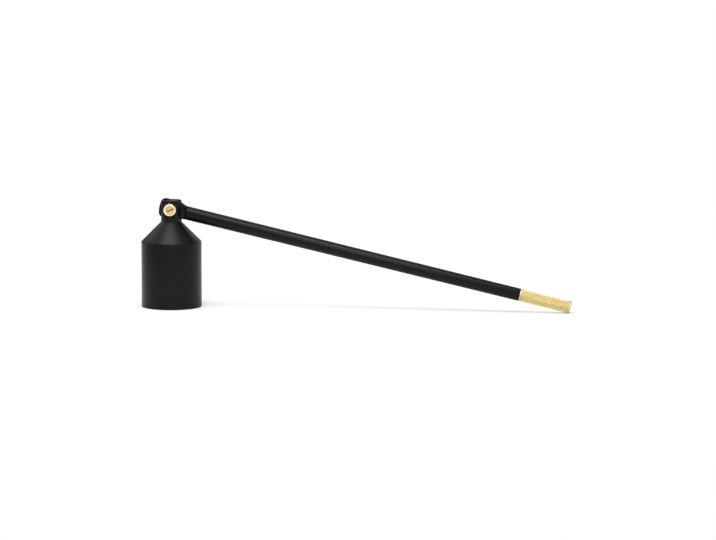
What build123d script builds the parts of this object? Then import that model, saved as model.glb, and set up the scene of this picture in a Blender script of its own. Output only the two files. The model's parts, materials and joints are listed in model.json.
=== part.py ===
from build123d import *
import os
from math import asin, atan2, cos, degrees, hypot, radians, sin, tan

# Candle snuffer: a turned bell on a long handle, joined by one pivot.
# The bell stands on its rim at z = 0 with its axis on Z. The handle points along +X and droops
# until its tip rests on the same surface. The pivot runs along Y.
# Lengths are in millimetres, angles in degrees.

# Bell, a turned cup that is open below
bell_diameter = 30.0
bell_wall = 1.3
skirt_height = 32.7
shoulder_angle = 45.0
crown_thickness = 5.8
rim_chamfer = 0.3
shoulder_round = 0.6

# Clevis post, a round slotted fork that stands on the crown
post_diameter = 10.4
pivot_rise = 6.25
post_head_room = 4.6
post_chamfer = 0.3
ear_thickness = 1.9
spigot_step = 1.1
spigot_recess = 0.6
spigot_roof = 0.9

# Screw and washer that hold the post from inside the bell
post_screw_diameter = 4.0
post_head_diameter = 7.6
post_head_height = 2.4
post_head_chamfer = 0.6
post_slot_width = 1.2
post_slot_depth = 1.1
post_washer_diameter = 12.0
post_washer_thickness = 1.0

# Pivot, a slotted screw in a sleeve nut that has the same head
sleeve_diameter = 4.2
sleeve_floor = 1.0
pivot_screw_diameter = 3.0
pivot_head_diameter = 6.3
pivot_head_height = 1.3
pivot_head_chamfer = 0.35
pivot_slot_width = 0.8
pivot_slot_depth = 0.5
pivot_slot_tilt = 19.0
pivot_washer_diameter = 7.6
pivot_washer_thickness = 0.3

# Ring turned into the face of each pivot head
face_ring_share = 0.7
face_ring_width = 0.3
face_ring_depth = 0.12

# Tongue, the flat end of the handle that swings in the fork
tongue_thickness = 3.0
tongue_height = 9.7
tongue_overhang = 6.0
tongue_end_radius = 12.0
tongue_corner_radius = 2.2
tongue_flat_length = 6.7
runout_radius = 1.5
flare_slope = 30.0
flare_end = 8.1

# Rod, round and slightly tapered, measured from the pivot
neck_diameter = 6.78
rod_end_diameter = 6.27
rod_length = 178.5

# Tip and the stud that joins it to the rod
tip_length = 25.9
tip_chamfer = 0.4
stud_diameter = 3.0
stud_depth = 7.0

# Clearances, and how far a cut runs past what it cuts
running_clearance = 0.05
fit_clearance = 0.03
side_clearance = 0.05
sweep_clearance = 0.6
spot_clearance = 0.25
end_gap = 0.4
floor_clearance = 0.02
cut_overrun = 4.0

# Heights and radii that follow from the sizes above
bell_radius = bell_diameter / 2
bore_radius = bell_radius - bell_wall
post_radius = post_diameter / 2
spigot_radius = post_radius - spigot_step
crown_top = skirt_height + (bell_radius - post_radius) * tan(radians(shoulder_angle))
ceiling = crown_top - crown_thickness
pivot_height = crown_top + pivot_rise
post_top = pivot_height + post_head_room

# The tongue's reach is the circle that its corners sweep about the pivot
corner_height = tongue_height / 2 - tongue_corner_radius
corner_swing = tongue_end_radius - tongue_corner_radius
dome_turn = degrees(asin(corner_height / corner_swing))
corner_run = tongue_end_radius - tongue_overhang - corner_swing * cos(radians(dome_turn))
tongue_reach = hypot(corner_run, corner_height) + tongue_corner_radius
slot_floor = pivot_height - tongue_reach - sweep_clearance

# The fork's stack, from the middle plane outwards: half tongue, washer, ear
slot_half_width = tongue_thickness / 2 + side_clearance + pivot_washer_thickness
head_seat = slot_half_width + ear_thickness
sleeve_length = 2 * head_seat
sleeve_depth = sleeve_length - sleeve_floor

# The flare is two equal arcs that run from the tongue's edge into the rod
flare_radius = (tongue_height - neck_diameter) / 2 / (2 * (1 - cos(radians(flare_slope))))
flare_start = flare_end - 2 * flare_radius * sin(radians(flare_slope))

# The handle droops until the lower edge of its tip stands on the floor
handle_length = rod_length + tip_length
tip_radius = rod_end_diameter / 2
foot_run = handle_length - tip_chamfer
drop = pivot_height - floor_clearance
handle_droop = degrees(asin(drop / hypot(foot_run, tip_radius)) - atan2(tip_radius, foot_run))
handle_place = Pos(0, 0, pivot_height) * Rot(Y=handle_droop)

# Alignments: stands on the plane it is placed at, or hangs below it
STANDING = (Align.CENTER, Align.CENTER, Align.MIN)
HANGING = (Align.CENTER, Align.CENTER, Align.MAX)


def make_bell_cup():
    """The bell: a straight skirt, a conical shoulder and a thick crown with a hole for the post."""
    inner_turn = radians(90 - shoulder_angle) / 2
    inner_shoulder = skirt_height - bell_wall * tan(inner_turn)
    ceiling_radius = bore_radius - (ceiling - inner_shoulder) / tan(radians(shoulder_angle))
    hole_radius = spigot_radius + fit_clearance
    corners = [
        ((bore_radius, 0), 0),
        ((bell_radius - rim_chamfer, 0), 0),
        ((bell_radius, rim_chamfer), 0),
        ((bell_radius, skirt_height), shoulder_round),
        ((post_radius, crown_top), 0),
        ((hole_radius, crown_top), 0),
        ((hole_radius, ceiling), 0),
        ((ceiling_radius, ceiling), 0),
        ((bore_radius, inner_shoulder), 0),
    ]
    points = [point for point, _ in corners]
    rounds = [round_radius for _, round_radius in corners]
    section = make_face(FilletPolyline(*points, radius=rounds, close=True))
    return revolve(Plane.XZ * section, Axis.Z)


def make_clevis_post():
    """The fork: a round post with a spigot below, a slot for the tongue and a seat on each ear."""
    post = Pos(0, 0, crown_top) * Cylinder(post_radius, post_top - crown_top, align=STANDING)
    post = chamfer(post.edges().sort_by(Axis.Z)[-1], post_chamfer)
    spigot_end = ceiling + spigot_recess
    post += Pos(0, 0, spigot_end) * Cylinder(spigot_radius, crown_top - spigot_end, align=STANDING)
    slot_height = post_top - slot_floor + cut_overrun
    slot = Box(post_diameter + cut_overrun, 2 * slot_half_width, slot_height, align=STANDING)
    post -= Pos(0, 0, slot_floor) * slot
    across = Pos(0, 0, pivot_height) * Rot(X=90)
    post -= across * Cylinder(sleeve_diameter / 2 + fit_clearance, post_diameter + cut_overrun)
    seat_radius = pivot_head_diameter / 2 + spot_clearance
    for side in (-1, 1):
        seat = Pos(0, 0, side * head_seat) * Cylinder(
            seat_radius, post_radius, align=STANDING if side > 0 else HANGING
        )
        post -= across * seat
    thread_radius = post_screw_diameter / 2 + fit_clearance
    thread_depth = slot_floor - spigot_roof - spigot_end
    post -= Pos(0, 0, spigot_end) * Cylinder(thread_radius, thread_depth, align=STANDING)
    return post


def make_slotted_head(diameter, height, edge_chamfer, slot_width, slot_depth):
    """A turned screw head that stands on the XY plane, with its slot along X."""
    head = Cylinder(diameter / 2, height, align=STANDING)
    head = chamfer(head.edges().sort_by(Axis.Z)[-1], edge_chamfer)
    slot = Box(diameter + cut_overrun, slot_width, slot_depth + cut_overrun, align=STANDING)
    return head - Pos(0, 0, height - slot_depth) * slot


def make_pivot_head():
    """The head that the pivot screw and the sleeve nut share, with a ring turned into its face."""
    head = make_slotted_head(
        pivot_head_diameter, pivot_head_height, pivot_head_chamfer, pivot_slot_width, pivot_slot_depth
    )
    ring_radius = pivot_head_diameter / 2 * face_ring_share
    ring = Cylinder(ring_radius, face_ring_depth + cut_overrun, align=STANDING)
    ring -= Cylinder(ring_radius - face_ring_width, face_ring_depth + cut_overrun, align=STANDING)
    return head - Pos(0, 0, pivot_head_height - face_ring_depth) * ring


def make_pivot_screw():
    """The brass screw on the front of the fork, its shank inside the sleeve nut."""
    screw = make_pivot_head()
    screw += Cylinder(pivot_screw_diameter / 2, sleeve_depth - end_gap, align=HANGING)
    return Pos(0, -head_seat, pivot_height) * Rot(X=90) * Rot(Z=pivot_slot_tilt) * screw


def make_pivot_barrel():
    """The sleeve nut: a head on the back of the fork and a sleeve that the tongue turns on."""
    barrel = make_pivot_head()
    barrel += Cylinder(sleeve_diameter / 2, sleeve_length, align=HANGING)
    thread = Cylinder(pivot_screw_diameter / 2 + fit_clearance, sleeve_depth, align=STANDING)
    barrel -= Pos(0, 0, -sleeve_length) * thread
    return Pos(0, head_seat, pivot_height) * Rot(X=-90) * barrel


def make_pivot_washers():
    """Two thin washers on the sleeve, one between each ear and the tongue."""
    washer = Cylinder(pivot_washer_diameter / 2, pivot_washer_thickness)
    washer -= Cylinder(sleeve_diameter / 2 + running_clearance, pivot_washer_thickness)
    middle = slot_half_width - pivot_washer_thickness / 2
    return Compound(
        [Pos(0, side * middle, pivot_height) * Rot(X=90) * washer.solid() for side in (-1, 1)]
    )


def make_post_washer():
    """The wide washer that bridges the spigot's hole under the crown."""
    washer = Cylinder(post_washer_diameter / 2, post_washer_thickness, align=HANGING)
    hole_radius = post_screw_diameter / 2 + running_clearance
    washer -= Cylinder(hole_radius, post_washer_thickness, align=HANGING)
    return Pos(0, 0, ceiling) * washer


def make_post_screw():
    """The screw from inside the bell that draws the post down on the crown."""
    head_top = ceiling - post_washer_thickness
    shank_length = slot_floor - spigot_roof - end_gap - head_top
    screw = make_slotted_head(
        post_head_diameter, post_head_height, post_head_chamfer, post_slot_width, post_slot_depth
    )
    screw += Cylinder(post_screw_diameter / 2, shank_length, align=HANGING)
    return Pos(0, 0, head_top) * Rot(X=180) * screw


def make_stud_hole(mouth, direction):
    """The hole for the stud on the handle's axis, from its mouth towards one end of the handle."""
    depth = stud_depth + end_gap
    hole = Cylinder(stud_diameter / 2 + fit_clearance, depth)
    return Pos(mouth + direction * depth / 2, 0, 0) * Rot(Y=90) * hole


def make_handle_rod():
    """The rod: turned to its flare and taper, then milled flat on both sides for the tongue."""
    with BuildLine() as outline:
        dome = JernArc((-tongue_overhang, 0), (0, 1), tongue_end_radius, -dome_turn)
        corner = JernArc(dome @ 1, dome % 1, tongue_corner_radius, dome_turn - 90)
        edge = Line(corner @ 1, (flare_start, tongue_height / 2))
        crest = JernArc(edge @ 1, edge % 1, flare_radius, -flare_slope)
        hollow = JernArc(crest @ 1, crest % 1, flare_radius, flare_slope)
        Polyline(hollow @ 1, (rod_length, tip_radius), (rod_length, 0), dome @ 0)
    rod = revolve(make_face(outline.line), Axis.X)

    half_thickness = tongue_thickness / 2
    past_end = -tongue_overhang - cut_overrun
    past_side = tongue_height / 2 + cut_overrun
    runout_end = tongue_flat_length + runout_radius
    with BuildLine() as flat:
        face_line = Line((past_end, half_thickness), (tongue_flat_length, half_thickness))
        runout = JernArc(face_line @ 1, face_line % 1, runout_radius, 90)
        Polyline(runout @ 1, (runout_end, past_side), (past_end, past_side), face_line @ 0)
    milled = extrude(make_face(flat.line), past_side, both=True)
    rod -= milled
    rod -= mirror(milled, Plane.XZ)

    rod -= Rot(X=90) * Cylinder(sleeve_diameter / 2 + running_clearance, tongue_height)
    rod -= make_stud_hole(rod_length, -1)
    return handle_place * rod


def make_tip_stud():
    """The stud, half in the rod and half in the tip."""
    return handle_place * Pos(rod_length, 0, 0) * Rot(Y=90) * Cylinder(stud_diameter / 2, 2 * stud_depth)


def make_knurled_tip():
    """The brass tip, as thick as the end of the rod, with both of its edges broken."""
    tip = Cylinder(tip_radius, tip_length)
    tip = chamfer(tip.edges().filter_by(GeomType.CIRCLE), tip_chamfer)
    tip = Pos(rod_length + tip_length / 2, 0, 0) * Rot(Y=90) * tip
    return handle_place * (tip - make_stud_hole(rod_length, 1))


makers = {
    "bell_cup": make_bell_cup,
    "clevis_post": make_clevis_post,
    "post_washer": make_post_washer,
    "post_screw": make_post_screw,
    "pivot_screw": make_pivot_screw,
    "pivot_barrel": make_pivot_barrel,
    "pivot_washers": make_pivot_washers,
    "handle_rod": make_handle_rod,
    "tip_stud": make_tip_stud,
    "knurled_tip": make_knurled_tip,
}

os.makedirs("parts", exist_ok=True)
for node, maker in makers.items():
    export_step(maker(), f"parts/{node}.step")

print(f"pivot height {pivot_height:.3f}, handle droop {handle_droop:.3f}, slot floor {slot_floor:.3f}")
print(f"bore radius {bore_radius:.3f}, ceiling {ceiling:.3f}, crown top {crown_top:.3f}")
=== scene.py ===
import json
from contextlib import contextmanager
from math import asin, atan2, copysign, cos, pi, radians, sin, tan, tau

import bmesh
import bpy
from bpy.props import FloatProperty, FloatVectorProperty, IntProperty, PointerProperty
from bpy.types import Operator, Panel, PropertyGroup
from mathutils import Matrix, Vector


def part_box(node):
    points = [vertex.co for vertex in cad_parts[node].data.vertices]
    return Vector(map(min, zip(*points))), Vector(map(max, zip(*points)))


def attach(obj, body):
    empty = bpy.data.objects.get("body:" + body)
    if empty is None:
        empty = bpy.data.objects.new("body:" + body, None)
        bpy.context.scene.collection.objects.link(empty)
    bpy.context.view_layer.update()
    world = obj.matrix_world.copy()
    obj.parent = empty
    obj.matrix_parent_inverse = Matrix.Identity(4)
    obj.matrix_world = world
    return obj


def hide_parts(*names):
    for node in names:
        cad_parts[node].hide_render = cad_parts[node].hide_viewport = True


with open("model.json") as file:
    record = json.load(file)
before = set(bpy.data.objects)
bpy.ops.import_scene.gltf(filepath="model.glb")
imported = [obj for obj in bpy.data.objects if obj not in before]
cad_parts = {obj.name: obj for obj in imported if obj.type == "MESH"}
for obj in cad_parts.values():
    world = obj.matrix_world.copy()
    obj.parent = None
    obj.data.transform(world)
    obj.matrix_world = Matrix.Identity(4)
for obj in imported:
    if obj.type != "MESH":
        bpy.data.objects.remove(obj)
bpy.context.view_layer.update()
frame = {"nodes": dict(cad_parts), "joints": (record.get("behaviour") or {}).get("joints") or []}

bl_info = {
    "name": "Candle Snuffer",
    "version": (1, 0, 0),
    "blender": (4, 5, 0),
    "location": "View3D > Sidebar > Snuffer",
    "description": "Models a black candle snuffer with a hinged handle and a knurled brass tip",
    "category": "Add Mesh",
}

MM = 0.001

# Places and sizes that the frame gives, in metres


def middle(node):
    """The middle of a node's box."""
    low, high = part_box(node)
    return (low + high) / 2


PIVOT = Vector(frame["joints"][0]["pos_m"])
STUD = middle("tip_stud") - PIVOT
ROD_LENGTH = STUD.length
HANDLE_DROOP = atan2(-STUD.z, STUD.x)
TIP_LENGTH = 2 * ((middle("knurled_tip") - PIVOT).length - ROD_LENGTH)
TIP_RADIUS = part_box("knurled_tip")[1].y
BELL_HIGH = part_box("bell_cup")[1]
POST_LOW, POST_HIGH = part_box("clevis_post")
SCREW_LOW, SCREW_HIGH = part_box("pivot_screw")
CROWN_SCREW_LOW, CROWN_SCREW_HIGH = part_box("post_screw")
WASHER_LOW, WASHER_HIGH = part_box("post_washer")

# How finely round shapes are divided
AROUND = 128
ARC_STEPS = 8

# Edges under the first angle are shaded smooth, and edges over the second are rounded
SMOOTH_ANGLE = radians(32)
SHARP_ANGLE = radians(40)

# How close points are merged or taken as one, and how far cutters reach past a piece
MERGE_DISTANCE = 0.001 * MM
NEAR = 0.004 * MM
CUT_OVERRUN = 4 * MM

# A face whose unit normal is lower than this points down
POINTS_DOWN = -0.9

# How far from a row of diamonds a point still counts as on it, in rows
ROW_SLACK = 0.1


# Settings that a user would change


def number(name, description, default, **limits):
    """A number of any kind."""
    return FloatProperty(name=name, description=description, default=default, **limits)


def numbers(name, description, default, **limits):
    """A row of numbers of any kind."""
    size = len(default)
    return FloatVectorProperty(name=name, description=description, default=default, size=size, **limits)


def length(name, description, default):
    """A size in metres."""
    return number(name, description, default, min=0.0, unit="LENGTH", precision=5)


def angle(name, description, default):
    """An angle, given in degrees and kept in radians."""
    return number(name, description, radians(default), subtype="ANGLE")


def share(name, description, default):
    """A number between nought and one."""
    return number(name, description, default, min=0.0, max=1.0, subtype="FACTOR")


def power(name, description, default):
    """A lamp's power in watts."""
    return number(name, description, default, min=0.0, subtype="POWER")


def colour(name, description, default):
    """A colour in linear light."""
    return numbers(name, description, default, min=0.0, max=1.0, subtype="COLOR")


def point(name, description, default):
    """A point in metres."""
    return numbers(name, description, default, unit="LENGTH", subtype="TRANSLATION")


def span(name, description, default):
    """A width and a depth in metres."""
    return numbers(name, description, default, min=0.0, unit="LENGTH")


class BellSizes(PropertyGroup):
    """The turned bell."""

    radius: length("Radius", "Outside of the straight skirt", BELL_HIGH.x)
    wall: length("Wall", "Thickness of the skirt", 1.3 * MM)
    skirt: length("Skirt height", "Height of the straight skirt", 32.7 * MM)
    crown_radius: length("Crown radius", "Top of the conical shoulder, where the fork stands", POST_HIGH.y)
    crown_top: length("Crown top", "Height of the crown", BELL_HIGH.z)
    ceiling: length("Ceiling", "Height of the flat under the crown", WASHER_HIGH.z)
    spigot_hole: length("Spigot hole", "Radius of the hole that the fork's spigot goes into", 4.13 * MM)
    rim_break: length("Rim break", "How far the outer edge of the rim is rounded", 0.3 * MM)
    bore_break: length("Bore break", "How far the inner edge of the rim is rounded", 0.12 * MM)
    shoulder_break: length("Shoulder break", "How far the edge of the shoulder is rounded", 0.25 * MM)
    crown_break: length("Crown break", "How far the edge of the crown is rounded", 0.1 * MM)
    inner_break: length("Inner break", "How far the edges of the inside are rounded", 0.41 * MM)


class ForkSizes(PropertyGroup):
    """The slotted fork on the crown."""

    radius: length("Radius", "Outside of the round post", POST_HIGH.y)
    top: length("Top", "Height of the ears", POST_HIGH.z)
    foot: length("Foot", "Lower end of the spigot", POST_LOW.z)
    spigot_radius: length("Spigot radius", "Outside of the spigot in the crown", 4.1 * MM)
    chamfer: length("Chamfer", "Broken edge round the top", 0.3 * MM)
    slot_half: length("Half slot", "Half of the slot's width", 1.85 * MM)
    slot_drop: length("Slot drop", "Slot's floor below the pivot", 7.138 * MM)
    eye_radius: length("Eye radius", "Hole for the sleeve", 2.13 * MM)
    seat_radius: length("Seat radius", "Flat that the screw's head sits on", 3.4 * MM)
    thread_radius: length("Thread radius", "Hole for the screw from below", 2.03 * MM)
    roof: length("Roof", "Metal left over the screw's hole", 0.9 * MM)
    edge_break: length("Edge break", "How far the milled edges are rounded", 0.1 * MM)


class PivotSizes(PropertyGroup):
    """The pivot's screw and the sleeve nut that it goes into."""

    head_radius: length("Head radius", "Outside of both heads", SCREW_HIGH.x)
    head_height: length("Head height", "Thickness of both heads", 1.3 * MM)
    head_round: length("Head round", "Radius of the head's edge", 0.4 * MM)
    slot_width: length("Slot width", "Width of the driver slot", 0.8 * MM)
    slot_depth: length("Slot depth", "Depth of the driver slot", 0.5 * MM)
    slot_tilt: angle("Slot tilt", "How far the front slot is turned", 19)
    ring_share: share("Ring share", "Outside of the turned ring as a share of the head", 0.7)
    ring_width: length("Ring width", "Width of the turned ring", 0.3 * MM)
    ring_depth: length("Ring depth", "Depth of the turned ring", 0.12 * MM)
    shank_radius: length("Shank radius", "Outside of the screw's shank", 1.5 * MM)
    sleeve_radius: length("Sleeve radius", "Outside of the sleeve", 2.1 * MM)
    sleeve_floor: length("Sleeve floor", "Metal between the sleeve's hole and its head", 1.0 * MM)
    thread_gap: length("Thread gap", "Room between the shank and the sleeve", 0.03 * MM)
    edge_break: length("Edge break", "How far the slot's edges are rounded", 0.05 * MM)


class CrownScrewSizes(PropertyGroup):
    """The screw and washer inside the bell."""

    head_radius: length("Head radius", "Outside of the head", CROWN_SCREW_HIGH.x)
    head_height: length("Head height", "Thickness of the head", WASHER_LOW.z - CROWN_SCREW_LOW.z)
    head_round: length("Head round", "Radius of the head's edge", 0.8 * MM)
    slot_width: length("Slot width", "Width of the driver slot", 1.2 * MM)
    slot_depth: length("Slot depth", "Depth of the driver slot", 1.1 * MM)
    shank_radius: length("Shank radius", "Outside of the shank", 2.0 * MM)
    edge_break: length("Edge break", "How far the slot's edges are rounded", 0.07 * MM)
    washer_radius: length("Washer radius", "Outside of the washer", WASHER_HIGH.x)
    washer_hole: length("Washer hole", "Hole in the washer", 2.05 * MM)
    washer_break: length("Washer break", "How far the washer's edges are rounded", 0.12 * MM)


class RodSizes(PropertyGroup):
    """The handle's rod, with the flat tongue at its hinge end."""

    rod_length: length("Rod length", "From the pivot to the tip", ROD_LENGTH)
    neck_radius: length("Neck radius", "Rod beside the hinge", 3.39 * MM)
    end_radius: length("End radius", "Rod beside the tip", TIP_RADIUS)
    end_break: length("End break", "Broken edge beside the tip", 0.08 * MM)
    tongue_half: length("Half tongue", "Half of the tongue's thickness", 1.5 * MM)
    tongue_edge: length("Tongue edge", "Half of the tongue's height", 4.85 * MM)
    overhang: length("Overhang", "Tongue past the pivot", 6.0 * MM)
    dome_radius: length("Dome radius", "Curve of the tongue's end", 12.0 * MM)
    corner_radius: length("Corner radius", "Corners of the tongue's end", 2.2 * MM)
    flat_length: length("Flat length", "Milled flat from the pivot to its run-out", 6.7 * MM)
    runout_radius: length("Run-out radius", "Curve where the cutter leaves the rod", 1.5 * MM)
    flare_slope: angle("Flare slope", "Steepest slope of the flare", 30)
    flare_end: length("Flare end", "Where the flare runs into the rod", 8.1 * MM)
    eye_radius: length("Eye radius", "Hole that turns on the sleeve", 2.15 * MM)
    edge_break: length("Edge break", "How far the milled edges are rounded", 0.12 * MM)
    stud_hole: length("Stud hole", "Radius of the hole for the stud", 1.53 * MM)
    stud_depth: length("Stud depth", "Depth of the hole for the stud", 7.4 * MM)


class TipSizes(PropertyGroup):
    """The knurled brass tip."""

    tip_length: length("Tip length", "From the rod to the end", TIP_LENGTH)
    radius: length("Radius", "Outside of the tip", TIP_RADIUS)
    chamfer: length("Chamfer", "Broken edge at both ends", 0.4 * MM)
    collar: length("Collar", "Plain band at both ends of the knurl", 0.9 * MM)
    knurl_depth: length("Knurl depth", "Height of each diamond", 0.25 * MM)
    knurl_flank: length("Knurl flank", "Width of each diamond's sloping sides", 0.28 * MM)
    diamonds_around: IntProperty(name="Diamonds", description="Diamonds in a ring", default=20, min=6)
    diamond_length: length("Diamond length", "Pitch of the knurl along the tip", 1.05 * MM)


class CoatFinish(PropertyGroup):
    """The matt black powder coat."""

    paint: colour("Paint", "Colour of the coat", (0.0022, 0.0022, 0.0024))
    worn: colour("Worn paint", "Colour of rubbed spots", (0.05, 0.05, 0.05))
    mottle: share("Mottle", "How far the colour varies", 0.2)
    mottle_size: length("Mottle size", "Width of the darker and lighter patches", 5 * MM)
    grain_size: length("Grain size", "Width of the fine grain", 0.22 * MM)
    grain_depth: length("Grain depth", "Depth of the fine grain", 0.016 * MM)
    ripple_size: length("Ripple size", "Width of the soft ripples", 1.1 * MM)
    ripple_depth: length("Ripple depth", "Depth of the soft ripples", 0.02 * MM)
    wear_size: length("Wear size", "Width of rubbed spots", 1.6 * MM)
    wear_full: length("Full wear", "Height up to which the rim is rubbed", 0.05 * MM)
    wear_end: length("End of wear", "Height at which the rubbing ends", 0.35 * MM)
    roughness: share("Roughness", "Roughness where the coat is smoothest", 0.3)
    roughness_spread: share("Roughness spread", "What the mottle and the grain each add to it", 0.05)
    gloss: share("Gloss", "Strength of the reflections", 0.18)


class BrassFinish(PropertyGroup):
    """The turned brass of the pivot's screw and nut."""

    # The rim's colour is partly polish and partly a painted highlight, brighter than the duller face inside
    # it
    rim: colour("Rim", "Polished rim of the heads", (0.93, 0.82, 0.52))
    dull: colour("Dull face", "Face inside the rim, where it has dulled", (0.66, 0.48, 0.18))
    # Painted shade: the slot's dark colour stands for the shade deep in the driver slot
    slot: colour("Slot", "Floor of the driver slot", (0.40, 0.25, 0.07))
    face_share: share("Face share", "Where the dull face ends, as a share of the head", 0.64)
    rim_highlight_share: share("Rim share", "Where the polished rim begins, as a share of the head", 0.72)
    slot_shade_share: share("Slot share", "Where its colour ends, as a share of its depth", 0.4)
    dullness: share("Dullness", "Dulling of the face between its dull patches", 0.7)
    patch_size: length("Patch size", "Width of the dull patches", 1.8 * MM)
    tool_pitch: length("Tool pitch", "Distance between tool marks", 0.09 * MM)
    tool_depth: length("Tool depth", "Depth of tool marks", 0.0016 * MM)
    scuff_size: length("Scuff size", "Width of scuffs", 0.12 * MM)
    scuff_depth: length("Scuff depth", "Depth of scuffs", 0.003 * MM)
    roughness: share("Roughness", "Roughness of the polished rim", 0.2)
    dull_roughness: share("Dull roughness", "What dulling adds to it", 0.12)
    scuff_roughness: share("Scuff roughness", "What scuffs add to it", 0.1)


class GripFinish(PropertyGroup):
    """The satin brass of the knurled tip."""

    crest: colour("Crests", "Crests of the knurl", (0.96, 0.85, 0.47))
    # Painted shade, varied by stains: the darker colour of the knurl's grooves
    shaded_groove: colour("Grooves", "Grooves of the knurl", (0.50, 0.38, 0.155))
    # Painted shade: the broken edges at both ends get a darker, greyer colour
    edge: colour("Edges", "Broken edges at both ends of the tip", (0.56, 0.50, 0.30))
    edge_width: length("Edge width", "Length of their colour at each end", 0.3 * MM)
    crest_share: share("Crest share", "Upper part of the knurl that is rubbed bright", 0.25)
    stain: share("Stain", "How far stains vary the grooves", 0.45)
    stain_size: length("Stain size", "Width of stains", 2.4 * MM)
    scuff_size: length("Scuff size", "Width of scuffs", 0.1 * MM)
    scuff_depth: length("Scuff depth", "Depth of scuffs", 0.004 * MM)
    roughness: share("Roughness", "Roughness of the crests", 0.46)
    groove_roughness: share("Groove roughness", "What the grooves add to it", 0.12)
    scuff_roughness: share("Scuff roughness", "What scuffs add to it", 0.1)


class ZincFinish(PropertyGroup):
    """The zinc plated steel of the crown screw, its washer and the stud."""

    bright: colour("Bright zinc", "Bright grains of the plating", (0.60, 0.61, 0.63))
    dull: colour("Dull zinc", "Dull grains of the plating", (0.42, 0.43, 0.45))
    grain_size: length("Grain size", "Width of the plating's grains", 0.5 * MM)
    grain_share: share("Grain share", "How much of the dulling follows the grains", 0.6)
    cloud_size: length("Cloud size", "Width of dull clouds", 2.5 * MM)
    cloud_share: share("Cloud share", "How much of the dulling follows the clouds", 0.5)
    scuff_size: length("Scuff size", "Width of scuffs", 0.15 * MM)
    scuff_depth: length("Scuff depth", "Depth of scuffs", 0.004 * MM)
    roughness: share("Roughness", "Roughness of bright grains", 0.3)
    dull_roughness: share("Dull roughness", "What dulling adds to it", 0.16)
    scuff_roughness: share("Scuff roughness", "What scuffs add to it", 0.06)


class NylonFinish(PropertyGroup):
    """The black nylon of the pivot's washers."""

    nylon: colour("Nylon", "Colour of the nylon", (0.012, 0.012, 0.013))
    mottle: share("Mottle", "How far the colour darkens", 0.2)
    cloud_size: length("Cloud size", "Width of darker clouds", 1.5 * MM)
    grain_size: length("Grain size", "Width of the moulded grain", 0.12 * MM)
    grain_depth: length("Grain depth", "Depth of the moulded grain", 0.006 * MM)
    roughness: share("Roughness", "Roughness where the grain is smoothest", 0.5)
    grain_roughness: share("Grain roughness", "What the grain adds to it", 0.12)


class StageSettings(PropertyGroup):
    """Camera, light and floor."""

    azimuth: angle("Azimuth", "Camera's turn from the front towards the tip", 7.3)
    elevation: angle("Elevation", "Camera's height above the horizon", 7.44)
    distance: length("Distance", "Camera from its target", 2.0)
    target: point("Target", "Point in the middle of the picture", (93.65 * MM, 0.0, 19.76 * MM))
    focal_pixels: number("Focal length", "Focal length in pixels", 4037.0)
    frame_width: IntProperty(name="Frame width", description="Width of the picture in pixels", default=716)
    sensor: number("Sensor", "Sensor's width in millimetres", 36.0)
    floor_size: length("Floor", "Side of the square floor", 12.0)
    floor_colour: colour("Floor colour", "Plain pale floor", (0.86, 0.86, 0.86))
    floor_white: share("Floor white", "How far the floor near the object is lifted to white", 0.4)
    shadow_reach: length("Shadow reach", "Distance from the target up to which shadows stay", 0.18)
    white_reach: length("White reach", "Distance from it where the floor is white", 0.5)
    backdrop_level: share("Backdrop level", "Light from the pale backdrop", 0.75)
    room_level: share("Room level", "Light from the room in front", 0.64)
    wall_dimming: share("Wall dimming", "How far the wall on the left is dimmed", 0.92)
    overhead_power: power("Overhead power", "Softbox above and in front of the bell", 11.8)
    overhead_span: span("Overhead span", "Width and depth of that softbox", (1.0, 0.6))
    overhead_place: point("Overhead place", "Middle of that softbox", (-0.03, -0.4, 1.25))
    side_power: power("Side power", "Softbox on the left, behind the bell", 1.8)
    side_span: span("Side span", "Width and depth of that softbox", (1.0, 1.0))
    side_place: point("Side place", "Middle of that softbox", (-0.75, 0.45, 1.05))
    key_power: power("Key power", "Softbox far in front", 6.0)
    key_span: span("Key span", "Width and depth of that softbox", (0.3, 0.3))
    key_place: point("Key place", "Middle of that softbox", (0.0, -1.7, 1.15))
    key_aim: point("Key aim", "Point that this softbox faces", (0.05, 0.0, 0.03))


class SnufferSettings(PropertyGroup):
    """All settings of the snuffer."""

    bell: PointerProperty(type=BellSizes)
    fork: PointerProperty(type=ForkSizes)
    pivot: PointerProperty(type=PivotSizes)
    crown_screw: PointerProperty(type=CrownScrewSizes)
    rod: PointerProperty(type=RodSizes)
    tip: PointerProperty(type=TipSizes)
    coat: PointerProperty(type=CoatFinish)
    brass: PointerProperty(type=BrassFinish)
    grip: PointerProperty(type=GripFinish)
    zinc: PointerProperty(type=ZincFinish)
    nylon: PointerProperty(type=NylonFinish)
    stage: PointerProperty(type=StageSettings)


# Shader maths


class Wire:
    """One output in a node tree. Sums, differences and products of wires add Math nodes."""

    def __init__(self, nodes, socket):
        self.nodes = nodes
        self.socket = socket

    def maths(self, operation, first, second):
        return self.nodes.add("ShaderNodeMath", {"operation": operation}, {0: first, 1: second})

    def __add__(self, other):
        return self.maths("ADD", self, other)

    __radd__ = __add__

    def __sub__(self, other):
        return self.maths("SUBTRACT", self, other)

    def __rsub__(self, other):
        return self.maths("SUBTRACT", other, self)

    def __mul__(self, other):
        return self.maths("MULTIPLY", self, other)

    __rmul__ = __mul__


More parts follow.
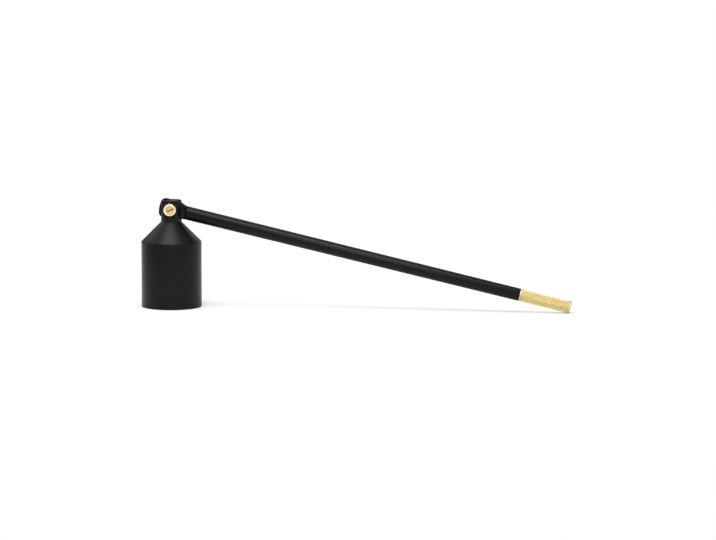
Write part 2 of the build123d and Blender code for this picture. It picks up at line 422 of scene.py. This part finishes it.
class Nodes:
    """The node tree of a material or a world, emptied, with one method that adds any node."""

    def __init__(self, owner):
        owner.use_nodes = True
        self.tree = owner.node_tree
        self.tree.nodes.clear()

    def add(self, kind, settings=None, inputs=None, output=0):
        node = self.tree.nodes.new(kind)
        for name, value in (settings or {}).items():
            setattr(node, name, value)
        for name, value in (inputs or {}).items():
            if isinstance(value, Wire):
                self.tree.links.new(value.socket, node.inputs[name])
            else:
                node.inputs[name].default_value = value
        return Wire(self, node.outputs[output]) if node.outputs else None

    def noise(self, place, grain, detail=2.0):
        """Noise between nought and one whose grains are about that many metres across."""
        return self.add("ShaderNodeTexNoise", None, {"Vector": place, "Scale": 1 / grain, "Detail": detail})

    def ramp(self, value, low, high):
        """A smooth step from nought at low to one at high."""
        settings = {"interpolation_type": "SMOOTHSTEP"}
        return self.add("ShaderNodeMapRange", settings, {"Value": value, "From Min": low, "From Max": high})

    def blend(self, factor, first, second):
        """A colour between two colours, by the numbers of the node's colour sockets."""
        return self.add("ShaderNodeMix", {"data_type": "RGBA"}, {0: factor, 6: first, 7: second}, output=2)

    def bump(self, height, depth, normal=None):
        """A bump that many metres deep, on top of another one if that is given."""
        inputs = {"Height": height, "Distance": depth, "Strength": 1.0}
        if normal:
            inputs["Normal"] = normal
        return self.add("ShaderNodeBump", None, inputs)

    def here(self):
        """A point's place on its piece."""
        return self.add("ShaderNodeTexCoord", output="Object")

    def from_place(self, location, rotation=(0, 0, 0)):
        """A point's place as seen from another place on the piece."""
        inputs = {"Vector": self.here(), "Location": location, "Rotation": rotation}
        return self.add("ShaderNodeMapping", {"vector_type": "TEXTURE"}, inputs)

    def part(self, place, axis):
        """One coordinate of a place."""
        return self.add("ShaderNodeSeparateXYZ", None, {"Vector": place}, axis)

    def off_axis(self, place, spread):
        """Distance from the axis or the plane along which spread is nought."""
        offset = self.add("ShaderNodeVectorMath", {"operation": "MULTIPLY"}, {0: place, 1: spread})
        return self.add("ShaderNodeVectorMath", {"operation": "LENGTH"}, {0: offset}, "Value")

    def surface(self, **inputs):
        """The material's shader, whose sockets are given by name with underscores for spaces."""
        sockets = {name.replace("_", " "): value for name, value in inputs.items()}
        shader = self.add("ShaderNodeBsdfPrincipled", None, sockets)
        self.add("ShaderNodeOutputMaterial", None, {"Surface": shader})


def solid(rgb, factor=1.0):
    """A colour with full alpha, made darker or lighter by a factor."""
    return (*(factor * channel for channel in rgb), 1.0)


def new_material(name):
    """An empty material and its nodes."""
    material = bpy.data.materials.new(name)
    return material, Nodes(material)


# Finishes

# Where a noise between nought and one turns from one look to another
WEAR_BAND = (0.5, 0.62)
PATCH_BAND = (0.4, 0.75)
PLATING_BAND = (0.2, 0.9)


def black_coat(name, coat, wear=None):
    """Matt black powder coat: a fine grain, soft mottle and, where wear says so, rubbed spots."""
    material, nodes = new_material(name)
    place = nodes.here()
    mottle = nodes.noise(place, coat.mottle_size)
    grain = nodes.noise(place, coat.grain_size, detail=3.0)
    ripple = nodes.noise(place, coat.ripple_size)
    paint = nodes.blend(mottle, solid(coat.paint, 1 - coat.mottle), solid(coat.paint, 1 + coat.mottle))
    if wear:
        spots = nodes.ramp(nodes.noise(place, coat.wear_size, detail=4.0), *WEAR_BAND)
        paint = nodes.blend(wear(nodes, coat) * spots, paint, solid(coat.worn))
    nodes.surface(
        Base_Color=paint,
        Roughness=coat.roughness + coat.roughness_spread * mottle + coat.roughness_spread * grain,
        Specular_IOR_Level=coat.gloss,
        Normal=nodes.bump(grain, coat.grain_depth, nodes.bump(ripple, coat.ripple_depth)),
    )
    return material


def rim_wear(nodes, coat):
    """The thin line on which the bell stands."""
    return 1 - nodes.ramp(nodes.part(nodes.here(), "Z"), coat.wear_full, coat.wear_end)


def turned_brass(name, brass, pivot):
    """Brass turned on the pivot's axis: a polished rim that also carries a painted highlight, a duller face
    inside it and a slot darkened with painted shade.
    """
    material, nodes = new_material(name)
    place = nodes.from_place(PIVOT)
    reach = nodes.off_axis(place, (1, 0, 1))
    out = nodes.off_axis(place, (0, 1, 0))
    face = -SCREW_LOW.y
    face_end = brass.face_share * pivot.head_radius
    # Painted highlight, partly polish: outside the turned ring the heads take the bright rim colour
    rim_highlight_start = brass.rim_highlight_share * pivot.head_radius
    inside = 1 - nodes.ramp(reach, face_end, rim_highlight_start)
    # Painted shade: the deeper part of each driver slot takes the slot's dark colour
    slot_shade = 1 - nodes.ramp(out, face - pivot.slot_depth, face - brass.slot_shade_share * pivot.slot_depth)
    rings = nodes.add("ShaderNodeMath", {"operation": "SINE"}, {0: reach * (tau / brass.tool_pitch)})
    patch = nodes.ramp(nodes.noise(place, brass.patch_size, detail=4.0), *PATCH_BAND)
    dull = inside * (brass.dullness + (1 - brass.dullness) * patch)
    scuff = nodes.noise(place, brass.scuff_size, detail=3.0)
    metal = nodes.blend(dull, solid(brass.rim), solid(brass.dull))
    nodes.surface(
        Base_Color=nodes.blend(inside * slot_shade, metal, solid(brass.slot)),
        Metallic=1.0,
        Roughness=brass.roughness + brass.dull_roughness * dull + brass.scuff_roughness * scuff,
        Normal=nodes.bump(rings, brass.tool_depth, nodes.bump(scuff, brass.scuff_depth)),
    )
    return material


def knurled_brass(name, grip, tip):
    """Satin brass whose crests are rubbed bright, whose grooves are darker and duller with painted shade
    and stains, and whose broken ends are darkened with painted shade.
    """
    material, nodes = new_material(name)
    place = nodes.from_place(PIVOT, (0, HANDLE_DROOP, 0))
    reach = nodes.off_axis(place, (0, 1, 1))
    root = tip.radius - tip.knurl_depth
    crest = nodes.ramp(reach, root, tip.radius - grip.crest_share * tip.knurl_depth)
    stain = nodes.noise(place, grip.stain_size, detail=4.0)
    scuff = nodes.noise(place, grip.scuff_size, detail=3.0)
    # Painted shade in the grooves under the rubbed crests, varied by stains
    shaded_groove = (1 - crest) * (1 - grip.stain + grip.stain * stain)
    along = nodes.part(place, "X")
    # Painted shade: the tip's broken ends take the darker edge colour, fading out across the collars
    from_rod = nodes.ramp(along - ROD_LENGTH, grip.edge_width, tip.collar)
    to_end = nodes.ramp(ROD_LENGTH + tip.tip_length - along, grip.edge_width, tip.collar)
    metal = nodes.blend(shaded_groove, solid(grip.crest), solid(grip.shaded_groove))
    nodes.surface(
        Base_Color=nodes.blend(from_rod * to_end, solid(grip.edge), metal),
        Metallic=1.0,
        Roughness=grip.roughness + grip.groove_roughness * shaded_groove + grip.scuff_roughness * scuff,
        Normal=nodes.bump(scuff, grip.scuff_depth),
    )
    return material


def zinc_plate(name, zinc):
    """Zinc plated steel: small bright and dull grains under a satin grain."""
    material, nodes = new_material(name)
    place = nodes.here()
    inputs = {"Vector": place, "Scale": 1 / zinc.grain_size}
    cells = nodes.add("ShaderNodeTexVoronoi", {"feature": "F1"}, inputs)
    cloud = nodes.noise(place, zinc.cloud_size, detail=3.0)
    scuff = nodes.noise(place, zinc.scuff_size, detail=3.0)
    dull = nodes.ramp(zinc.grain_share * cells + zinc.cloud_share * cloud, *PLATING_BAND)
    nodes.surface(
        Base_Color=nodes.blend(dull, solid(zinc.bright), solid(zinc.dull)),
        Metallic=1.0,
        Roughness=zinc.roughness + zinc.dull_roughness * dull + zinc.scuff_roughness * scuff,
        Normal=nodes.bump(scuff, zinc.scuff_depth),
    )
    return material


def black_nylon(name, nylon):
    """Plain black nylon with a fine moulded grain."""
    material, nodes = new_material(name)
    place = nodes.here()
    grain = nodes.noise(place, nylon.grain_size, detail=3.0)
    cloud = nodes.noise(place, nylon.cloud_size)
    nodes.surface(
        Base_Color=nodes.blend(cloud, solid(nylon.nylon, 1 - nylon.mottle), solid(nylon.nylon)),
        Roughness=nylon.roughness + nylon.grain_roughness * grain,
        Normal=nodes.bump(grain, nylon.grain_depth),
    )
    return material


# Modelling by hand


def pick(piece):
    """Make one object the only selected one, and the active one."""
    bpy.ops.object.select_all(action="DESELECT")
    piece.select_set(True)
    bpy.context.view_layer.objects.active = piece


@contextmanager
def editing(piece):
    """Edit mode on one piece."""
    pick(piece)
    bpy.ops.object.mode_set(mode="EDIT")
    yield
    bpy.ops.object.mode_set(mode="OBJECT")


SELECT_MODES = {"edges": "EDGE", "faces": "FACE"}


def choose(piece, kind, test):
    """In edit mode, select only the edges or the faces that pass a test."""
    bpy.ops.mesh.select_mode(type=SELECT_MODES[kind])
    bpy.ops.mesh.select_all(action="DESELECT")
    mesh = bmesh.from_edit_mesh(piece.data)
    chosen = [part for part in getattr(mesh, kind) if test(part)]
    if not chosen:
        raise RuntimeError(f"{piece.name}: nothing to select among its {kind}")
    for part in chosen:
        part.select_set(True)
    bmesh.update_edit_mesh(piece.data)


def add_shape(name, kind, **settings):
    """A primitive at its size and place, with that place in its mesh."""
    bpy.ops.object.select_all(action="DESELECT")
    getattr(bpy.ops.mesh, f"primitive_{kind}_add")(**settings)
    piece = bpy.context.active_object
    piece.name = name
    piece.data.name = name
    bpy.ops.object.transform_apply(location=True, rotation=True, scale=True)
    return piece


def settle(piece, location, rotation):
    """Turn and move a piece to its place, and put that place in its mesh."""
    pick(piece)
    piece.rotation_euler = rotation
    piece.location = location
    bpy.ops.object.transform_apply(location=True, rotation=True, scale=True)


def close_up():
    """In edit mode, merge points that lie together and turn every face outwards."""
    bpy.ops.mesh.select_all(action="SELECT")
    bpy.ops.mesh.remove_doubles(threshold=MERGE_DISTANCE)
    bpy.ops.mesh.normals_make_consistent(inside=False)


def turned(name, outline):
    """Draw an outline of radius and height point by point, and spin it once round the Z axis."""
    radius, height = outline[0]
    piece = add_shape(name, "plane", size=MM, location=(radius, 0, height))
    with editing(piece):
        bpy.ops.mesh.select_mode(type="VERT")
        bpy.ops.mesh.select_all(action="SELECT")
        bpy.ops.mesh.merge(type="CENTER")
        for start, end in zip(outline, outline[1:]):
            step = (end[0] - start[0], 0, end[1] - start[1])
            bpy.ops.mesh.extrude_vertices_move(TRANSFORM_OT_translate={"value": step})
        bpy.ops.mesh.select_all(action="SELECT")
        bpy.ops.mesh.spin(steps=AROUND, angle=tau, center=(0, 0, 0), axis=(0, 0, 1))
        close_up()
    return piece


def near(*gaps):
    """Whether all of these gaps are too small to count."""
    return all(abs(gap) < NEAR for gap in gaps)


def on_ring(radius, height):
    """A test for edges of a ring round the Z axis."""

    def test(edge):
        return all(near(vert.co.xy.length - radius, vert.co.z - height) for vert in edge.verts)

    return test


def round_ring(piece, radius, height, size, segments=4):
    """Round one ring of edges of a turned piece."""
    with editing(piece):
        choose(piece, "edges", on_ring(radius, height))
        bpy.ops.mesh.bevel(offset=size, segments=segments, affect="EDGES")


def apply_modifier(piece, kind, **settings):
    """Add a modifier, set it and apply it."""
    pick(piece)
    bpy.ops.object.modifier_add(type=kind)
    modifier = piece.modifiers[-1]
    for name, value in settings.items():
        setattr(modifier, name, value)
    bpy.ops.object.modifier_apply(modifier=modifier.name)


def cut(piece, cutter):
    """Cut one piece with another, which is then thrown away."""
    apply_modifier(piece, "BOOLEAN", operation="DIFFERENCE", solver="EXACT", object=cutter)
    pick(cutter)
    bpy.ops.object.delete()


def mill(piece, size, location):
    """Cut a box out of a piece, with the middle of the box at a place."""
    cut(piece, add_shape("mill", "cube", size=1, scale=size, location=location))


def drill(piece, radius, depth, **place):
    """Cut a round hole in a piece, with the middle of the drill at a place."""
    cut(piece, add_shape("drill", "cylinder", vertices=AROUND // 2, radius=radius, depth=depth, **place))


def soften(piece, width):
    """Round the sharp edges that are left on a piece."""
    apply_modifier(piece, "BEVEL", width=width, segments=2, limit_method="ANGLE", angle_limit=SHARP_ANGLE)
    with editing(piece):
        close_up()


def arc(start, heading, radius, turn):
    """The points of an arc that leaves a point along a heading, and the heading at its end."""
    side = copysign(1, turn)
    centre = start + side * radius * Vector((-sin(heading), cos(heading)))
    headings = [heading + turn * step / ARC_STEPS for step in range(1, ARC_STEPS + 1)]
    return [centre + side * radius * Vector((sin(h), -cos(h))) for h in headings], headings[-1]


def dress(piece, material, slot, body, *nodes):
    """Shade a finished piece, give it its finish, and let it stand for its CAD nodes on their body."""
    pick(piece)
    bpy.ops.object.shade_smooth_by_angle(angle=SMOOTH_ANGLE)
    piece.data.materials.clear()
    piece.data.materials.append(material)
    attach(piece, body)
    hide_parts(*nodes)


def refinish(node, material):
    """Give a CAD node a new material."""
    mesh = frame["nodes"][node].data
    mesh.materials.clear()
    mesh.materials.append(material)


# Pieces


class SNUFFER_OT_bell(Operator):
    """Turn the bell: a straight skirt, a conical shoulder and a crown, hollow from below"""

    bl_idname = "snuffer.bell"
    bl_label = "Bell"

    def execute(self, context):
        settings = context.scene.snuffer
        size = settings.bell
        bore = size.radius - size.wall
        slope = atan2(size.crown_top - size.skirt, size.radius - size.crown_radius)
        inner_shoulder = size.skirt - size.wall * tan((pi / 2 - slope) / 2)
        ceiling_radius = bore - (size.ceiling - inner_shoulder) / tan(slope)
        bell = turned(
            "turned_bell",
            [
                (bore, 0),
                (size.radius, 0),
                (size.radius, size.skirt),
                (size.crown_radius, size.crown_top),
                (size.spigot_hole, size.crown_top),
                (size.spigot_hole, size.ceiling),
                (ceiling_radius, size.ceiling),
                (bore, inner_shoulder),
                (bore, 0),
            ],
        )
        round_ring(bell, size.radius, 0, size.rim_break)
        round_ring(bell, bore, 0, size.bore_break)
        round_ring(bell, size.radius, size.skirt, size.shoulder_break)
        round_ring(bell, size.crown_radius, size.crown_top, size.crown_break)
        round_ring(bell, ceiling_radius, size.ceiling, size.inner_break)
        round_ring(bell, bore, inner_shoulder, size.inner_break)
        material = black_coat("black_coat_bell", settings.coat, wear=rim_wear)
        dress(bell, material, "black_bell", "bell", "bell_cup")
        return {"FINISHED"}


class SNUFFER_OT_fork(Operator):
    """Model the fork: a round post with a spigot, slotted for the tongue and spot-faced for the screws"""

    bl_idname = "snuffer.fork"
    bl_label = "Fork"

    def execute(self, context):
        settings = context.scene.snuffer
        size = settings.fork
        crown_top = settings.bell.crown_top
        fork = add_shape(
            "slotted_fork",
            "cylinder",
            vertices=AROUND,
            radius=size.radius,
            depth=size.top - crown_top,
            location=(0, 0, (size.top + crown_top) / 2),
        )
        round_ring(fork, size.radius, size.top, size.chamfer, segments=2)
        with editing(fork):
            choose(fork, "faces", lambda face: face.normal.z < POINTS_DOWN)
            bpy.ops.mesh.inset(thickness=size.radius - size.spigot_radius)
            drop = (0, 0, size.foot - crown_top)
            bpy.ops.mesh.extrude_region_move(TRANSFORM_OT_translate={"value": drop})
            close_up()

        past_post = 2 * size.radius + CUT_OVERRUN
        slot_floor = PIVOT.z - size.slot_drop
        slot_height = size.top - slot_floor + CUT_OVERRUN
        mill(fork, (past_post, 2 * size.slot_half, slot_height), (0, 0, slot_floor + slot_height / 2))

        across = (pi / 2, 0, 0)
        drill(fork, size.eye_radius, past_post, location=PIVOT, rotation=across)
        seat_middle = -SCREW_LOW.y - settings.pivot.head_height + CUT_OVERRUN / 2
        for side in (-1, 1):
            place = (0, side * seat_middle, PIVOT.z)
            drill(fork, size.seat_radius, CUT_OVERRUN, location=place, rotation=across)
        hole_depth = slot_floor - size.roof - size.foot
        drill(fork, size.thread_radius, 2 * hole_depth, location=(0, 0, size.foot))
        soften(fork, size.edge_break)
        material = black_coat("black_coat_fork", settings.coat)
        dress(fork, material, "black_post", "bell", "clevis_post")
        return {"FINISHED"}


def screw_outline(size, ring, shank):
    """A screw's outline, from the middle of its face to its shank's end, with its head's seat at z = 0."""
    corner = Vector((size.head_radius - size.head_round, size.head_height))
    edge, _ = arc(corner, 0, size.head_round, -pi / 2)
    return [(0, size.head_height), *ring, corner, *edge, (size.head_radius, 0), *shank]


def turned_screw(name, size, ring, shank):
    """A turned screw on its shank, with a driver slot along X and its sharp edges rounded."""
    screw = turned(name, screw_outline(size, ring, shank))
    slot = (2 * size.head_radius + CUT_OVERRUN, size.slot_width, 2 * size.slot_depth)
    mill(screw, slot, (0, 0, size.head_height))
    soften(screw, size.edge_break)
    return screw


class SNUFFER_OT_pivot(Operator):
    """Turn the pivot's brass screw and its sleeve nut, and finish the washers between them"""

    bl_idname = "snuffer.pivot"
    bl_label = "Pivot"

    def execute(self, context):
        settings = context.scene.snuffer
        size = settings.pivot
        ring_outer = size.head_radius * size.ring_share
        ring_inner = ring_outer - size.ring_width
        ring_floor = size.head_height - size.ring_depth
        ring = [
            (ring_inner, size.head_height),
            (ring_inner, ring_floor),
            (ring_outer, ring_floor),
            (ring_outer, size.head_height),
        ]
        head_seat = -SCREW_LOW.y - size.head_height
        reach = head_seat + SCREW_HIGH.y
        sleeve_length = 2 * head_seat
        hole = size.shank_radius + size.thread_gap
        plain_shank = [(size.shank_radius, 0), (size.shank_radius, -reach), (0, -reach)]
        sleeve = [
            (size.sleeve_radius, 0),
            (size.sleeve_radius, -sleeve_length),
            (hole, -sleeve_length),
            (hole, -size.sleeve_floor),
            (0, -size.sleeve_floor),
        ]
        material = turned_brass("turned_brass", settings.brass, size)
        for name, node, shank, side, tilt in (
            ("front_screw", "pivot_screw", plain_shank, -1, size.slot_tilt),
            ("sleeve_nut", "pivot_barrel", sleeve, 1, 0),
        ):
            screw = turned_screw(name, size, ring, shank)
            settle(screw, (0, 0, 0), (0, 0, tilt))
            settle(screw, (0, side * head_seat, PIVOT.z), (-side * pi / 2, 0, 0))
            dress(screw, material, "turned_brass", "bell", node)
        refinish("pivot_washers", black_nylon("black_nylon", settings.nylon))
        return {"FINISHED"}


class SNUFFER_OT_crown_screw(Operator):
    """Turn the screw and the washer that hold the fork from inside the bell"""

    bl_idname = "snuffer.crown_screw"
    bl_label = "Crown screw"

    def execute(self, context):
        settings = context.scene.snuffer
        size = settings.crown_screw
        reach = CROWN_SCREW_HIGH.z - WASHER_LOW.z
        shank = [(size.shank_radius, 0), (size.shank_radius, -reach), (0, -reach)]
        screw = turned_screw("crown_screw", size, [], shank)
        settle(screw, (0, 0, WASHER_LOW.z), (pi, 0, 0))
        material = zinc_plate("zinc_plate", settings.zinc)
        dress(screw, material, "plated_steel", "bell", "post_screw")

        rings = [(size.washer_hole, WASHER_LOW.z), (size.washer_radius, WASHER_LOW.z)]
        rings += [(radius, WASHER_HIGH.z) for radius, _ in reversed(rings)]
        washer = turned("crown_washer", [*rings, rings[0]])
        for radius, height in rings:
            round_ring(washer, radius, height, size.washer_break, segments=3)
        dress(washer, material, "plated_steel", "bell", "post_washer")
        refinish("tip_stud", material)
        return {"FINISHED"}


def lay_on_handle(piece):
    """Turn a piece that was made along Z from the pivot onto the drooping handle."""
    settle(piece, PIVOT, (0, pi / 2 + HANDLE_DROOP, 0))


def rod_outline(size):
    """The rod's outline from the end of its tongue to the bottom of the stud's hole."""
    dome_sine = (size.tongue_edge - size.corner_radius) / (size.dome_radius - size.corner_radius)
    dome_turn = asin(dome_sine)
    flare_radius = (size.tongue_edge - size.neck_radius) / (2 * (1 - cos(size.flare_slope)))
    flare_start = (size.flare_end - 2 * flare_radius * sin(size.flare_slope), size.tongue_edge)
    start = Vector((-size.overhang, 0))
    dome, heading = arc(start, pi / 2, size.dome_radius, -dome_turn)
    corner, heading = arc(dome[-1], heading, size.corner_radius, dome_turn - pi / 2)
    crest, heading = arc(Vector(flare_start), heading, flare_radius, -size.flare_slope)
    hollow, _ = arc(crest[-1], heading, flare_radius, size.flare_slope)
    hole_end = size.rod_length - size.stud_depth
    walk = [
        start,
        *dome,
        *corner,
        flare_start,
        *crest,
        *hollow,
        (size.rod_length - size.end_break, size.end_radius),
        (size.rod_length, size.end_radius - size.end_break),
        (size.rod_length, size.stud_hole),
        (hole_end, size.stud_hole),
        (hole_end, 0),
    ]
    return [(radius, along) for along, radius in walk]


def flat_cutter(size, side):
    """The box that mills one side of the tongue, with the run-out's curve on its edge."""
    face = side * size.tongue_half
    end = size.flat_length + size.runout_radius
    cut_length = end + size.overhang + CUT_OVERRUN
    cut_width = 2 * size.tongue_edge + CUT_OVERRUN
    cutter = add_shape(
        "flat_cutter",
        "cube",
        size=1,
        scale=(cut_width, cut_width, cut_length),
        location=(0, face + side * cut_width / 2, end - cut_length / 2),
    )

    def on_runout(edge):
        return all(near(vert.co.y - face, vert.co.z - end) for vert in edge.verts)

    with editing(cutter):
        choose(cutter, "edges", on_runout)
        bpy.ops.mesh.bevel(offset=size.runout_radius, segments=2 * ARC_STEPS, affect="EDGES")
    return cutter


class SNUFFER_OT_rod(Operator):
    """Turn the rod with its flared tongue, and mill the tongue flat with a run-out on each side"""

    bl_idname = "snuffer.rod"
    bl_label = "Handle rod"

    def execute(self, context):
        settings = context.scene.snuffer
        size = settings.rod
        rod = turned("turned_rod", rod_outline(size))
        for side in (-1, 1):
            cut(rod, flat_cutter(size, side))
        drill(rod, size.eye_radius, 2 * size.tongue_edge + CUT_OVERRUN, rotation=(pi / 2, 0, 0))
        soften(rod, size.edge_break)
        lay_on_handle(rod)
        material = black_coat("black_coat_rod", settings.coat)
        dress(rod, material, "black_handle", "handle", "handle_rod")
        return {"FINISHED"}


def knurl_band(size, start):
    """A band of raised diamonds round the Z axis, open at both ends."""
    room = size.tip_length - 2 * size.collar
    rows = round(room / size.diamond_length)
    row_length = room / rows
    root = size.radius - size.knurl_depth
    sagitta = root * (1 - cos(pi / size.diamonds_around))
    band = add_shape(
        "knurl_band", "circle", vertices=size.diamonds_around, radius=root, location=(0, 0, start)
    )

    def on_row(vert):
        row = (vert.co.z - start) / row_length
        return abs(row - round(row)) < ROW_SLACK

    def between_diamonds(edge):
        return not edge.is_boundary and all(on_row(vert) for vert in edge.verts)

    with editing(band):
        bpy.ops.mesh.select_all(action="SELECT")
        for _ in range(rows):
            bpy.ops.mesh.extrude_edges_move(TRANSFORM_OT_translate={"value": (0, 0, row_length)})
        bpy.ops.mesh.select_all(action="SELECT")
        bpy.ops.mesh.normals_make_consistent(inside=False)
        bpy.ops.mesh.poke(offset=sagitta)
        choose(band, "edges", between_diamonds)
        bpy.ops.mesh.dissolve_edges(use_verts=False)
        bpy.ops.mesh.select_all(action="SELECT")
        bpy.ops.mesh.inset(thickness=size.knurl_flank, depth=size.knurl_depth, use_individual=True)
    return band


def open_edge_at(height):
    """A test for open edges at a height."""

    def test(edge):
        return edge.is_boundary and all(near(vert.co.z - height) for vert in edge.verts)

    return test


class SNUFFER_OT_tip(Operator):
    """Model the brass tip: two plain collars, and a band of raised diamonds bridged to them"""

    bl_idname = "snuffer.tip"
    bl_label = "Knurled tip"

    def execute(self, context):
        settings = context.scene.snuffer
        size = settings.tip
        stud_hole = settings.rod.stud_hole
        near_end = settings.rod.rod_length
        far_end = near_end + size.tip_length
        hole_end = near_end + settings.rod.stud_depth
        band_start = near_end + size.collar
        band_end = far_end - size.collar
        near_collar = [
            (0, hole_end),
            (stud_hole, hole_end),
            (stud_hole, near_end),
            (size.radius - size.chamfer, near_end),
            (size.radius, near_end + size.chamfer),
            (size.radius, band_start),
        ]
        far_collar = [
            (size.radius, band_end),
            (size.radius, far_end - size.chamfer),
            (size.radius - size.chamfer, far_end),
            (0, far_end),
        ]
        tip = knurl_band(size, band_start)
        collars = [turned("near_collar", near_collar), turned("far_collar", far_collar)]
        pick(tip)
        for collar in collars:
            collar.select_set(True)
        bpy.ops.object.join()
        tip.name = "knurled_grip"
        with editing(tip):
            for height in (band_start, band_end):
                choose(tip, "edges", open_edge_at(height))
                bpy.ops.mesh.bridge_edge_loops()
            close_up()
        lay_on_handle(tip)
        material = knurled_brass("knurled_brass", settings.grip, size)
        dress(tip, material, "knurled_brass", "handle", "knurled_tip")
        return {"FINISHED"}


# Stage

# Where the room's walls begin and end, as parts of the unit direction towards them
BACKDROP_BAND = (-0.5, 0.6)
LEFT_WALL_BAND = (-0.55, -0.05)
LEFT_WALL_TOP = (0.1, 0.5)


def add_softbox(name, watts, spread, place, aim=(0, 0, 0)):
    """A soft rectangular lamp that faces a point, or else the middle of the bell's mouth."""
    lamp = bpy.data.lights.new(name, "AREA")
    lamp.shape = "RECTANGLE"
    lamp.size, lamp.size_y = spread
    lamp.energy = watts
    stand = bpy.data.objects.new(name, lamp)
    stand.location = place
    stand.rotation_euler = (Vector(aim) - Vector(place)).to_track_quat("-Z", "Y").to_euler()
    bpy.context.scene.collection.objects.link(stand)


def floor_finish(stage):
    """A pale floor that is white to the eye and keeps the object's shadow near it."""
    material, nodes = new_material("pale_floor")
    seen = nodes.add("ShaderNodeLightPath", output="Is Camera Ray")
    away = nodes.off_axis(nodes.from_place(stage.target), (1, 1, 0))
    far = nodes.ramp(away, stage.shadow_reach, stage.white_reach)
    clear = stage.floor_white + (1 - stage.floor_white) * far
    lit = nodes.add("ShaderNodeBsdfDiffuse", None, {"Color": solid(stage.floor_colour)})
    white = nodes.add("ShaderNodeEmission", None, {"Strength": 1.0})
    mixed = nodes.add("ShaderNodeMixShader", None, {0: seen * clear, 1: lit, 2: white})
    nodes.add("ShaderNodeOutputMaterial", None, {"Surface": mixed})
    return material


def light_room(stage):
    """White to the eye; as light, a pale backdrop, a dimmer front and a low dark wall on the left."""
    world = bpy.data.worlds.new("studio")
    bpy.context.scene.world = world
    nodes = Nodes(world)
    towards = nodes.add("ShaderNodeTexCoord", output="Generated")
    across, depth, height = (nodes.part(towards, axis) for axis in "XYZ")
    behind = nodes.ramp(depth, *BACKDROP_BAND)
    left_wall = (1 - nodes.ramp(across, *LEFT_WALL_BAND)) * (1 - nodes.ramp(height, *LEFT_WALL_TOP))
    level = stage.room_level + (stage.backdrop_level - stage.room_level) * behind
    level = level * (1 - stage.wall_dimming * left_wall)
    seen = nodes.add("ShaderNodeLightPath", output="Is Camera Ray")
    light = nodes.add("ShaderNodeBackground", None, {"Color": (1, 1, 1, 1), "Strength": level})
    white = nodes.add("ShaderNodeBackground", None, {"Color": (1, 1, 1, 1), "Strength": 1.0})
    mixed = nodes.add("ShaderNodeMixShader", None, {0: seen, 1: light, 2: white})
    nodes.add("ShaderNodeOutputWorld", None, {"Surface": mixed})


class SNUFFER_OT_stage(Operator):
    """Set up the pale floor, the soft light and the camera"""

    bl_idname = "snuffer.stage"
    bl_label = "Stage"

    def execute(self, context):
        scene = context.scene
        stage = scene.snuffer.stage
        scene.view_settings.view_transform = "Standard"

        floor = add_shape("pale_floor", "plane", size=stage.floor_size)
        floor.data.materials.append(floor_finish(stage))

        light_room(stage)
        add_softbox("overhead_softbox", stage.overhead_power, stage.overhead_span, stage.overhead_place)
        add_softbox("side_softbox", stage.side_power, stage.side_span, stage.side_place)
        add_softbox("key_softbox", stage.key_power, stage.key_span, stage.key_place, stage.key_aim)

        target = Vector(stage.target)
        turn = stage.azimuth
        rise = stage.elevation
        back = Vector((sin(turn) * cos(rise), -cos(turn) * cos(rise), sin(rise)))
        lens = bpy.data.cameras.new("camera")
        lens.sensor_fit = "HORIZONTAL"
        lens.sensor_width = stage.sensor
        lens.lens = stage.focal_pixels / stage.frame_width * stage.sensor
        camera = bpy.data.objects.new("camera", lens)
        camera.location = target + back * stage.distance
        camera.rotation_euler = (pi / 2 - rise, 0, turn)
        scene.collection.objects.link(camera)
        scene.camera = camera
        return {"FINISHED"}


class SNUFFER_PT_panel(Panel):
    """Lists the snuffer's pieces and its stage"""

    bl_idname = "SNUFFER_PT_panel"
    bl_label = "Candle Snuffer"
    bl_space_type = "VIEW_3D"
    bl_region_type = "UI"
    bl_category = "Snuffer"

    def draw(self, context):
        for operator in OPERATORS:
            self.layout.operator(operator.bl_idname)


OPERATORS = (
    SNUFFER_OT_bell,
    SNUFFER_OT_fork,
    SNUFFER_OT_pivot,
    SNUFFER_OT_crown_screw,
    SNUFFER_OT_rod,
    SNUFFER_OT_tip,
    SNUFFER_OT_stage,
)
SETTINGS = (
    BellSizes,
    ForkSizes,
    PivotSizes,
    CrownScrewSizes,
    RodSizes,
    TipSizes,
    CoatFinish,
    BrassFinish,
    GripFinish,
    ZincFinish,
    NylonFinish,
    StageSettings,
    SnufferSettings,
)
CLASSES = (*SETTINGS, *OPERATORS, SNUFFER_PT_panel)


def register():
    for cls in CLASSES:
        bpy.utils.register_class(cls)
    bpy.types.Scene.snuffer = PointerProperty(type=SnufferSettings)


def unregister():
    del bpy.types.Scene.snuffer
    for cls in reversed(CLASSES):
        bpy.utils.unregister_class(cls)


def main():
    register()
    bpy.ops.snuffer.bell()
    bpy.ops.snuffer.fork()
    bpy.ops.snuffer.pivot()
    bpy.ops.snuffer.crown_screw()
    bpy.ops.snuffer.rod()
    bpy.ops.snuffer.tip()
    bpy.ops.snuffer.stage()


if __name__ == "__main__":
    main()
